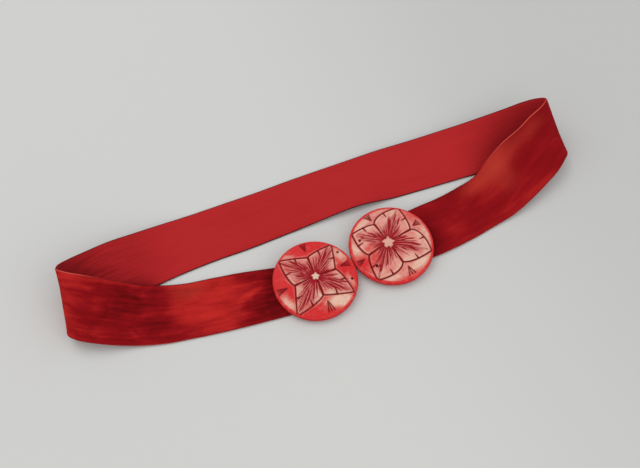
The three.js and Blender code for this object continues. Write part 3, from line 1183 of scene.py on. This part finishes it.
    def hair_strokes(self, chance: np.random.Generator) -> Iterator[Stroke]:
        """Draws the fine brush lines that fan out over each petal.

        Args:
            chance: The seeded source of variation.

        Yields:
            The strokes.
        """
        centre = np.array(self.centre)
        for aim, share in self.fan(chance, self.hairs, 0.3):
            middle = 1 - abs(2 * share - 1)
            reach = self.hair_reach * (0.66 + 0.32 * middle + chance.uniform(-0.14, 0.08))
            width = 1.0 + 0.5 * middle + chance.uniform(-0.2, 0.3)
            start = centre + aim * self.hair_start
            yield Stroke(start, centre + aim * reach, width, HAIR_END, HAIR_DEPTH)

    def bare_streaks(self, chance: np.random.Generator) -> Iterator[Stroke]:
        """Draws the streaks without stain that run from each petal's edge in towards the star.

        Args:
            chance: The seeded source of variation.

        Yields:
            The strokes.
        """
        centre = np.array(self.centre)
        for aim, _ in self.fan(chance, self.streaks, 0.4):
            inner = chance.uniform(0.22, 0.55)
            width = chance.uniform(0.9, 1.4)
            yield Stroke(centre + aim * self.streak_start, centre + aim * inner, width, HAIR_END)


@dataclass
class CarvedDisc:
    """One half of the buckle: a turned, domed disc with a flower carved and stained on its top."""

    name: str
    node: str
    radius: float
    offset: float
    flower: Flower
    finish: StainedWood
    pins: tuple[Place, ...]
    ground_red: float
    petal_pale: float
    petal_red: float
    lip_pale: float
    pale: tuple[Wash, ...]
    reds: tuple[Wash, ...]
    mass_reach: float
    axis_reach: float
    seed: int
    thickness: float = 10.5
    rounding: float = 2.6
    turn_in: float = 0.9
    ripples: float = 30
    segments: int = 480
    ring_pitch: float = 0.33
    hole_radius: float = 0.9
    hole_depth: float = 4.2
    hair_ink: float = 0.95
    bare_share: float = 0.9
    rim_ink: float = 0.3
    ground_pale: float = 0.15
    bevel_share: float = 0.32

    def profile(self) -> list[tuple[float, float]]:
        """Draws half of the disc's section, from its top's middle to its underside's middle.

        Returns:
            Distances from the axis and heights.
        """
        shoulder = self.radius - self.rounding + self.rounding * math.cos(self.turn_in)
        rise = self.thickness - self.rounding - self.rounding * math.sin(self.turn_in)
        dome = (shoulder**2 + rise**2) / (2 * rise)
        count = int(shoulder / self.ring_pitch)
        points = []
        for ring in range(count + 1):
            reach = shoulder * ring / count
            points.append((reach, self.thickness - dome + math.sqrt(dome**2 - reach**2)))
        steps = 9
        for step in range(1, steps + 1):
            angle = self.turn_in - (self.turn_in + math.pi / 2) * step / steps
            reach = self.radius - self.rounding + self.rounding * math.cos(angle)
            points.append((reach, self.rounding + self.rounding * math.sin(angle)))
        flat = self.radius - self.rounding
        points.extend((flat * share, 0.0) for share in (0.97, 0.7, 0.4, 0.0))
        return points

    def build(self, effects: SharedEffects) -> Piece:
        """Makes the disc.

        Args:
            effects: The shared node groups.

        Returns:
            The disc's object.
        """
        shape = bmesh.new()
        line = [shape.verts.new((reach, 0, height)) for reach, height in self.profile()]
        sides = [shape.edges.new(pair) for pair in zip(line[:-1], line[1:])]
        bmesh.ops.spin(
            shape,
            geom=line + sides,
            cent=(0, 0, 0),
            axis=(0, 0, 1),
            angle=2 * math.pi,
            steps=self.segments,
            use_merge=True,
        )
        bmesh.ops.remove_doubles(shape, verts=shape.verts, dist=1e-4)
        bmesh.ops.recalc_face_normals(shape, faces=shape.faces)
        self.carve(shape)
        place = (
            Matrix.Scale(MM, 4)
            @ Matrix.Translation(BUCKLE_MIDDLE - Vector(BASE_MIDDLE))
            @ Matrix.Rotation(math.radians(BUCKLE_LEAN), 4, "X")
            @ Matrix.Rotation(math.radians(BUCKLE_TURN), 4, "Z")
            @ Matrix.Translation((self.offset, 0, 0))
        )
        bmesh.ops.transform(shape, matrix=place, verts=shape.verts)
        piece = finish_piece(self.name, shape, [self.finish.build(effects)])
        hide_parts(self.node)
        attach(piece, "root")
        log.info("%s: radius %.1f mm, %d faces", self.name, self.radius, len(piece.data.polygons))
        return piece

    def carve(self, shape: Shape) -> None:
        """Cuts the lines and holes into the top and lays on the stain.

        Args:
            shape: The disc's bmesh, which gets a paint layer: lines with painted shade at the rim
                and in the pin holes, strokes, paleness with painted highlights beside the cuts, and
                redness.
        """
        corners = np.array([v.co for v in shape.verts])
        places, reach = corners[:, :2], np.linalg.norm(corners[:, :2], axis=1)
        top = (corners[:, 2] > self.rounding + 0.2) & (reach < self.radius - 0.4)
        chance = np.random.default_rng(self.seed)
        depth, lines, strokes = (np.zeros(len(corners)) for _ in range(3))
        for cut in self.flower.cuts():
            near = cut.near(places)
            depth = np.maximum(depth, cut.depth * smoothstep(0, 1, near))
            lines = np.maximum(lines, cut.ink * smoothstep(0.05, 0.55, near))
        share, rim_gap, off_axis = self.flower.shares(places)
        petals = share < 1
        for hair in self.flower.hair_strokes(chance):
            near = hair.near(places) * petals
            depth = np.maximum(depth, hair.depth * smoothstep(0, 1, near))
            strokes = np.maximum(strokes, self.hair_ink * smoothstep(0.0, 0.5, near))
        strokes = np.maximum(strokes, self.feather(places, share, off_axis) * petals)
        for hair in self.flower.bare_streaks(chance):
            strokes = strokes * (1 - self.bare_share * smoothstep(0.0, 0.5, hair.near(places)))
        pale, red, star = self.stain(places, reach, petals, rim_gap)
        # Painted shade: a dark ring at the rim, carried on the lines layer
        rim = smoothstep(self.radius - 1.3, self.radius - 0.4, reach)
        lines = np.maximum(lines, self.rim_ink * rim)
        holes = np.zeros(len(corners))
        for pin in self.pins:
            gap = np.linalg.norm(places - np.array(pin), axis=1)
            side = smoothstep(self.hole_radius - 0.15, self.hole_radius + 0.25, gap)
            holes = np.maximum(holes, 1 - side)
        depth = np.maximum(depth, self.hole_depth * holes)
        fade = 1 - smoothstep(self.radius - 2.2, self.radius - 0.9, reach)
        depth = np.where(top, depth * np.maximum(fade, holes), 0)
        # Painted shade: the pin holes are filled with the line colour
        lines_and_hole_shade = np.maximum(lines * fade, 1.6 * holes)
        lines = np.where(top, lines_and_hole_shade, np.minimum(lines, self.rim_ink))
        layer = shape.verts.layers.float_color.new("paint")
        star_layer = shape.verts.layers.float.new("star")
        for index, vertex in enumerate(shape.verts):
            vertex.co.z -= depth[index]
            vertex[layer] = (lines[index], strokes[index] * top[index], pale[index], red[index])
            vertex[star_layer] = star[index] * top[index]

    def feather(self, places: np.ndarray, share: np.ndarray, off_axis: np.ndarray) -> np.ndarray:
        """Lays the dense stain that spreads from the star along each petal to a ragged fringe.

        Args:
            places: Each vertex's place on the disc.
            share: Its distance from the flower's centre as a share of the petal's edge.
            off_axis: Its angle off the petal's axis.

        Returns:
            How much of the dark stain each vertex carries.
        """
        direction, distance = self.flower.polar(places)
        ragged = np.array([noise.noise(Vector((angle * 11, self.seed, 0))) for angle in direction])
        sway = np.array([
            noise.noise(Vector((angle * 5, self.seed + 4, way * 0.1)))
            for angle, way in zip(direction, distance)
        ])
        ripple = smoothstep(0.1, 0.9, np.sin(self.ripples * direction + 5 * sway))
        gap = ripple * smoothstep(4, 10, distance)
        spread = self.axis_reach * np.exp(-((off_axis / 0.27) ** 2))
        end = self.mass_reach + spread + 0.42 * ragged
        mass = 1 - smoothstep(end - 0.08, end + 0.08, share)
        return mass * (1 - 0.55 * gap)

    def stain(
        self, places: np.ndarray, reach: np.ndarray, petals: np.ndarray, rim_gap: np.ndarray
    ) -> tuple[np.ndarray, np.ndarray, np.ndarray]:
        """Lays the pale and red washes over ground, petals and centre star, and painted highlights
        by the cuts.

        Args:
            places: Each vertex's place on the disc.
            reach: Its distance from the axis.
            petals: Whether it lies in a petal.
            rim_gap: Distance from it to the petal's edge.

        Returns:
            Paleness, redness, and how much of the star it carries.
        """
        # Painted highlight: the petals' lips just inside the cut edges turn pale
        lip = smoothstep(0.6, 1.2, rim_gap) * (1 - smoothstep(1.6, 3.2, rim_gap))
        # Painted highlight: the ground just outside the petal edges loses some red
        bevel = smoothstep(-2.6, -1.5, rim_gap) * (1 - smoothstep(-0.9, -0.5, rim_gap))
        pale = np.where(petals, self.petal_pale + self.lip_pale * lip, self.ground_pale)
        red = np.where(petals, self.petal_red, self.ground_red * (1 - self.bevel_share * bevel))
        share = np.where(petals, 0.6, 1)
        for wash in self.pale:
            weight = wash.weight(places) * share
            pale = pale + weight
            red = red * (1 - np.clip(weight, 0, 1))
        for wash in self.reds:
            red = np.maximum(red, np.clip(wash.weight(places), 0, 1))
        direction, distance = self.flower.polar(places)
        wave = np.cos(5 * direction + 0.6) + 0.6 * np.cos(9 * direction + 2.0)
        distance = distance / (1 + self.flower.star_jag * wave)
        star = 1 - smoothstep(self.flower.star * 0.85, self.flower.star * 1.15, distance)
        side = smoothstep(self.radius - 3.3, self.radius - 1.5, reach)
        return np.clip(pale, 0, 1), np.clip(np.maximum(red, side * 0.95), 0, 1), star


LEFT_RADIUS, RIGHT_RADIUS = 33.0, 33.5
HALF_WAY = (LEFT_RADIUS + RIGHT_RADIUS + SEAM_GAP) / 2

LEFT_FLOWER = Flower(
    centre=(0, 0.4),
    star=2.5,
    star_jag=0.2,
    tips=((24.5, 21), (-18.5, 26.3), (-26, -20.3), (22, -22.3)),
    notches=((2, 17.5), (-17, 1), (-1.5, -15), (16.5, -0.5)),
    bulges=((0.2, 0.8), (0, 2), (0, 2), (0.9, 1.4)),
    tick_place=0.45,
    marks=((3, 23.5), (-23, 2), (-0.5, -20.6), (21.7, 0.5)),
    mark_length=7.8,
    mark_spread=2.4,
    edge_ink=0.93,
    mark_ink=0.9,
    spoke_share=0.82,
    hairs=15,
    hair_reach=0.98,
)

RIGHT_FLOWER = Flower(
    centre=(-3, 0.8),
    star=3.9,
    star_jag=0.18,
    tips=((20.3, 26), (-23.6, 21.5), (-24, -21.8), (25.8, -18.3)),
    notches=((-4.6, 19.5), (-20.4, -1.2), (-0.5, -17.5), (18, 3.5)),
    bulges=((1.5, 4.1), (1.3, 2.7), (1.8, 4.1), (2.6, 4.3)),
    tick_place=0.5,
    marks=((-5, 24.2), (-25.3, -2.6), (1.8, -22.8), (22.3, 6)),
    mark_length=6.4,
    mark_spread=2.5,
    edge_ink=1.0,
    mark_ink=0.92,
    spoke_share=0.8,
    hairs=14,
    hair_reach=0.84,
)

# The left disc is red with a slender-petalled flower
LEFT_DISC = CarvedDisc(
    name="carved_disc_left",
    node="left_disc",
    radius=LEFT_RADIUS,
    offset=-HALF_WAY,
    flower=LEFT_FLOWER,
    finish=StainedWood("stained_wood_left", pink=srgb(207, 112, 105), star=srgb(218, 186, 166)),
    pins=((25.7, 12.7), (25.3, -12)),
    ground_red=1.0,
    petal_pale=0.12,
    petal_red=0.12,
    lip_pale=0.42,
    pale=washes(
        (-28, -9.5, 4.2, 9.5, 0.85, 14), (10, -24.5, 13, 5.2, 1.1, -12),
        (-6, -17.5, 6, 2.2, 0.5, 20), (26, 10.5, 5, 7.5, 0.8), (-13, 27, 8, 2, 0.6, -30),
        (24, -13, 2.5, 6, 0.6, 8), (-3.5, -12.5, 3.5, 3, 1.0), (5, -15.5, 4, 2.5, 0.9),
        (15.5, -7, 3, 3, 0.6), (-15, -4, 3.5, 3, 0.6), (16, 4.5, 4, 3, 0.7),
        (-12, 7, 5, 2.5, 0.4, -30),
    ),
    reds=washes(
        (-11, -28, 12, 5.5, 1.0, -20), (-13, -19, 8, 2.2, 0.7, 8), (-17, 17, 3, 7, 0.4, 10),
        (2, -9, 3, 3, 0.2),
    ),
    mass_reach=0.66,
    axis_reach=0.25,
    seed=7,
)

# The right disc is cream with red at its left and rim, and a broad-petalled flower
RIGHT_DISC = CarvedDisc(
    name="carved_disc_right",
    node="right_disc",
    radius=RIGHT_RADIUS,
    offset=HALF_WAY,
    flower=RIGHT_FLOWER,
    finish=StainedWood("stained_wood_right", pink=srgb(214, 126, 116), star=srgb(216, 160, 144)),
    pins=((-21.3, 13.3), (-19.6, -11.8)),
    ground_red=0.2,
    petal_pale=0.14,
    petal_red=0.06,
    lip_pale=0.5,
    pale=washes(
        (-28.2, 8, 2.8, 8, 0.9, 12), (-14, 25, 9, 2.6, 0.7, 14), (3, 28.6, 6, 1.6, 0.3),
        (29, -4, 2.6, 8, 0.55), (12, -24, 12, 3.4, 1.0, 12), (-13, -26, 9, 2.4, 0.7, -14),
        (21, -12, 4.5, 6, 0.7), (-19, -17.5, 3, 3, 0.5), (-20, 8, 3, 4, 0.4),
        (12, 23, 7, 3, 0.8, 8), (2, 19, 5, 4, 0.5), (-9, 18, 5, 3, 0.6), (7, -16.5, 6, 3, 0.9),
        (22, -3, 4, 4, 0.6), (-5, -17, 4, 5, 0.5), (16, 8, 4, 5, 0.4),
    ),
    reds=washes(
        (-27, -6, 6.5, 10, 1.0, 15), (25.5, 15, 5.5, 10, 0.55, 30), (-18, -6, 7, 6.5, 0.8),
        (-17, 3.5, 7, 3.5, 0.55), (-6, -34, 26, 6.2, 1.0, 4), (19, -29, 13, 4, 0.9, 38),
        (9, 32.5, 14, 2.5, 0.7, -14),
    ),
    mass_reach=0.52,
    axis_reach=0.29,
    seed=11,
)


class Buckle:
    """Both carved discs and the steel clasp under them."""

    def build(self, effects: SharedEffects) -> None:
        """Makes the discs and finishes the clasp's two plates.

        Args:
            effects: The shared node groups.
        """
        for disc in (LEFT_DISC, RIGHT_DISC):
            disc.build(effects)
        steel = BrushedSteel().build(effects)
        for name in ("clasp_eye", "clasp_hook"):
            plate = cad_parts[name]
            plate.data.materials.clear()
            plate.data.materials.append(steel)
            log.info("%s: brushed steel", name)


@dataclass
class Studio:
    """The pale floor, the soft light and the camera at the photograph's viewing angle."""

    lens: float = 56.46
    eye: tuple[float, float, float] = (-0.1675, -0.3834, 0.6784)
    aim: tuple[float, float, float] = (-0.0053, 0.0082, 0.0)
    floor_size: float = 12.0
    floor_tone: tuple = srgb(203, 203, 201)
    floor_fall: float = 0.87
    fall_start: float = -0.04
    fall_end: float = 0.28
    sky_strength: float = 0.78
    key_power: float = 14.0
    key_place: tuple[float, float, float] = (-0.9, 1.2, 1.9)
    fill_power: float = 7.0
    fill_place: tuple[float, float, float] = (0.5, -1.3, 0.9)
    lamp_size: float = 2.0

    def build(self) -> None:
        """Makes all three."""
        self.make_camera()
        self.make_floor()
        self.make_light()
        bpy.context.scene.view_settings.view_transform = "Standard"

    def make_camera(self) -> None:
        """Puts up the camera."""
        data = bpy.data.cameras.new("camera")
        data.lens = self.lens
        data.sensor_width = 36
        data.clip_start = 0.01
        camera = bpy.data.objects.new("camera", data)
        camera.location = self.eye
        direction = Vector(self.aim) - Vector(self.eye)
        camera.rotation_euler = direction.to_track_quat("-Z", "Y").to_euler()
        bpy.context.scene.collection.objects.link(camera)
        bpy.context.scene.camera = camera

    def make_floor(self) -> None:
        """Lays the floor, which is not part of the belt, with painted shade darkening it towards
        +x.
        """
        shape = bmesh.new()
        bmesh.ops.create_grid(shape, x_segments=1, y_segments=1, size=self.floor_size / 2)
        bmesh.ops.translate(shape, vec=(0, 0, -0.1 * MM), verts=shape.verts)
        material, board, shader = new_finish("pale_floor", Specular_IOR_Level=0.1, Roughness=0.9)
        spot = board.add("ShaderNodeTexCoord").outputs["Object"]
        split = board.add("ShaderNodeSeparateXYZ", {0: spot})
        # Painted shade: the floor darkens towards +x
        fall = board.add(
            "ShaderNodeMapRange",
            {"Value": split.outputs[0], "From Min": self.fall_start, "From Max": self.fall_end},
            interpolation_type="SMOOTHSTEP",
        ).outputs[0]
        darker = tuple(self.floor_fall * value for value in self.floor_tone[:3]) + (1.0,)
        colour = board.mix(fall, self.floor_tone, darker)
        board.tree.links.new(colour, shader.inputs["Base Color"])
        finish_piece("floor", shape, [material])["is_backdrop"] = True

    def make_light(self) -> None:
        """Hangs two large soft lamps in a pale sky, at the back left and the front right."""
        world = bpy.data.worlds.new("pale_sky")
        world.use_nodes = True
        background = world.node_tree.nodes["Background"]
        background.inputs["Color"].default_value = (1.0, 1.0, 1.0, 1.0)
        background.inputs["Strength"].default_value = self.sky_strength
        bpy.context.scene.world = world
        self.hang_lamp("key_lamp", self.key_place, self.key_power)
        self.hang_lamp("fill_lamp", self.fill_place, self.fill_power)

    def hang_lamp(self, name: str, place: tuple[float, float, float], power: float) -> None:
        """Hangs one round soft lamp that faces the belt.

        Args:
            name: The lamp's name.
            place: Where it hangs, in metres.
            power: Its power in watts.
        """
        data = bpy.data.lights.new(name, "AREA")
        data.shape = "DISK"
        data.size = self.lamp_size
        data.energy = power
        lamp = bpy.data.objects.new(name, data)
        lamp.location = place
        lamp.rotation_euler = (-Vector(place)).to_track_quat("-Z", "Y").to_euler()
        bpy.context.scene.collection.objects.link(lamp)


def write_sizes() -> None:
    """Measures the solids' box and the dressed belt's box, and keeps neither."""
    boxes = {"solids": SOLIDS_BOX, "dressed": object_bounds()}
    {name: [list(corner) for corner in box] for name, box in boxes.items()}


def main() -> None:
    """Builds the studio, the ribbon and the buckle in order."""
    logging.basicConfig(level=logging.INFO, format="%(name)s: %(message)s")
    effects = SharedEffects()
    Studio().build()
    VelvetBand().build(effects)
    Buckle().build(effects)
    write_sizes()


if __name__ == "__main__":
    main()
